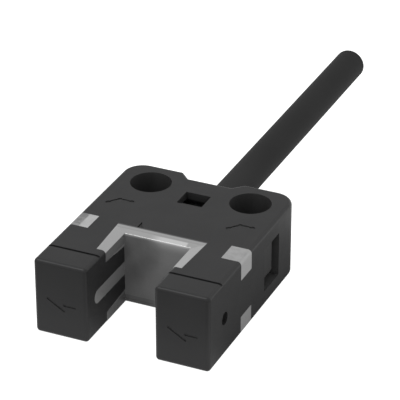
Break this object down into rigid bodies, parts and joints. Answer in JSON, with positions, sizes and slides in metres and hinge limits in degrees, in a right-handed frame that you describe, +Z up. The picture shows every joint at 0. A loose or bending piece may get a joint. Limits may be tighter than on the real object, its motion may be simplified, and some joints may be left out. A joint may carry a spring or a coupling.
{
  "type": "fork sensor",
  "caption": "Small black fork sensor: a light barrier with a smoke-grey lined slot, corner light windows, two mounting holes and a short cut cable.",
  "frame": {"origin": "middle of the underside of the housing, measured without the cable", "axes": "+Y from the fork's open end towards the cable, +Z up out of the top face, X across the two arms"},
  "size_m": [0.0138, 0.0457, 0.0061],
  "materials": {
    "housing_black": "fine spark-eroded moulded black plastic",
    "smoked_lining": "smooth smoke-grey translucent plastic",
    "light_guide": "frosted grey translucent plastic",
    "carrier_black": "plain black plastic",
    "board_green": "solder-masked fibreglass board",
    "clear_resin": "clear moulded resin",
    "dark_resin": "dark infrared-passing resin",
    "chip_black": "moulded epoxy",
    "ceramic_tan": "fired ceramic",
    "led_resin": "yellowish clear resin",
    "cable_jacket": "matt black cable jacket",
    "wire_brown": "wire insulation",
    "wire_blue": "wire insulation",
    "wire_black": "wire insulation",
    "wire_white": "wire insulation",
    "solder": "bright solder"
  },
  "bodies": {
    "root": {"housing": "housing_black", "base_cover": "housing_black", "fork_lining": "smoked_lining", "right_light_guide": "light_guide", "left_light_guide": "light_guide", "inner_carrier": "carrier_black", "circuit_board": "board_green", "emitter_diode": "clear_resin", "receiver_diode": "dark_resin", "emitter_holder": "carrier_black", "receiver_holder": "carrier_black", "control_chip": "chip_black", "voltage_regulator": "chip_black", "protection_diode": "chip_black", "output_transistors": "chip_black", "capacitors": "ceramic_tan", "resistors": "chip_black", "right_indicator_led": "led_resin", "left_indicator_led": "led_resin", "cable": "cable_jacket", "cable_clamp": "carrier_black", "brown_wire": "wire_brown", "blue_wire": "wire_blue", "black_wire": "wire_black", "white_wire": "wire_white", "solder_joints": "solder"}
  },
  "joints": []
}
